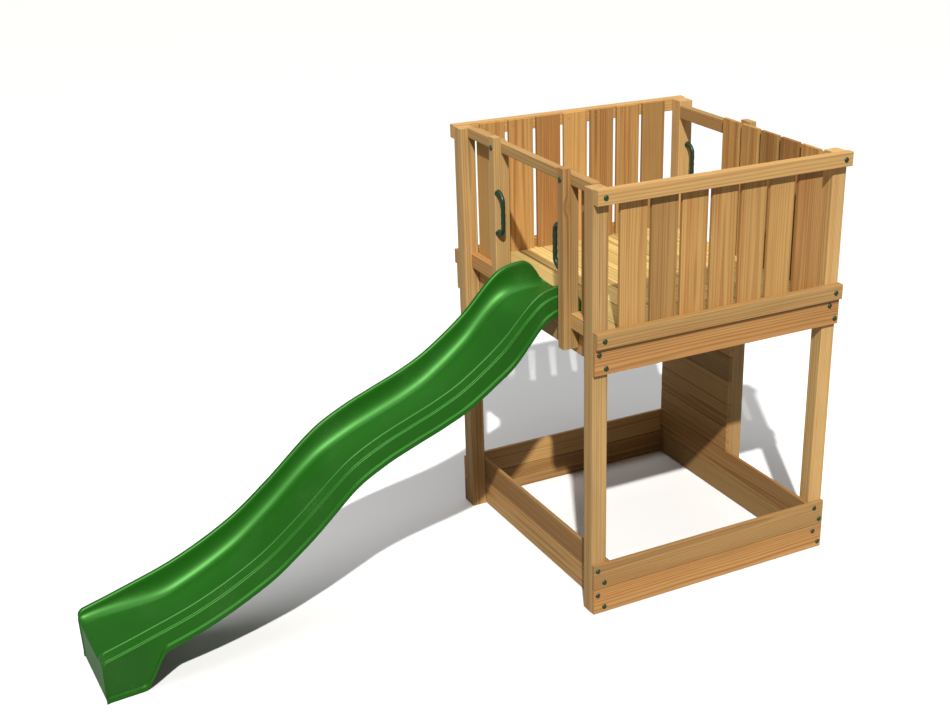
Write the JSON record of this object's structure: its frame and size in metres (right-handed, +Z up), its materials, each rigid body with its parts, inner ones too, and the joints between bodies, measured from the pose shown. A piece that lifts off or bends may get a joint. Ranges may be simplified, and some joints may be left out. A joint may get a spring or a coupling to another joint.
{
  "type": "play tower with waved slide",
  "caption": "Timber play tower with a raised deck, board guard walls, a sandbox base, a climbing panel and a waved plastic slide.",
  "frame": {"origin": "middle of the whole footprint, on the ground", "axes": "+Z up; the slide runs towards -Y; the near board wall is on +X; the climbing side is on +Y"},
  "size_m": [1.294, 3.165, 1.872],
  "materials": {
    "post_wood": "planed softwood, matt",
    "rail_wood": "planed softwood, matt",
    "board_wood": "planed softwood, matt",
    "infill_wood": "planed softwood, matt",
    "deck_wood": "planed softwood, matt",
    "slide_plastic": "glossy moulded plastic",
    "handle_plastic": "moulded plastic",
    "cap_plastic": "matt plastic cap",
    "steel": "zinc plated"
  },
  "bodies": {
    "root": {"base_board_high_back": "board_wood", "base_board_high_far": "board_wood", "base_board_high_front": "board_wood", "base_board_high_near": "board_wood", "base_board_low_back": "board_wood", "base_board_low_far": "board_wood", "base_board_low_front": "board_wood", "base_board_low_near": "board_wood", "capped_screws_far": "cap_plastic", "capped_screws_front": "cap_plastic", "capped_screws_near": "cap_plastic", "climbing_planks": "infill_wood", "deck_beam_back": "board_wood", "deck_beam_far": "board_wood", "deck_beam_front": "board_wood", "deck_beam_near": "board_wood", "deck_board_1": "deck_wood", "deck_board_2": "deck_wood", "deck_board_3": "deck_wood", "deck_board_4": "deck_wood", "deck_board_5": "deck_wood", "deck_board_6": "deck_wood", "deck_board_7": "deck_wood", "deck_board_8": "deck_wood", "deck_board_9": "deck_wood", "grab_handle_entry": "handle_plastic", "grab_handle_far": "handle_plastic", "grab_handle_near": "handle_plastic", "jamb_far": "post_wood", "jamb_near": "post_wood", "joist_1": "board_wood", "joist_2": "board_wood", "joist_3": "board_wood", "mid_rail_back": "rail_wood", "mid_rail_far": "rail_wood", "mid_rail_front_far": "rail_wood", "mid_rail_front_near": "rail_wood", "mid_rail_near": "rail_wood", "post_back_far": "post_wood", "post_back_near": "post_wood", "post_entry": "post_wood", "post_front_far": "post_wood", "post_front_near": "post_wood", "slide_chute": "slide_plastic", "slide_screws": "steel", "top_rail_back": "rail_wood", "top_rail_far": "rail_wood", "top_rail_front": "rail_wood", "top_rail_near": "rail_wood", "wall_board_front_near": "board_wood", "wall_boards_back": "infill_wood", "wall_boards_far": "infill_wood", "wall_boards_front_far": "infill_wood", "wall_boards_near": "infill_wood"}
  },
  "joints": []
}
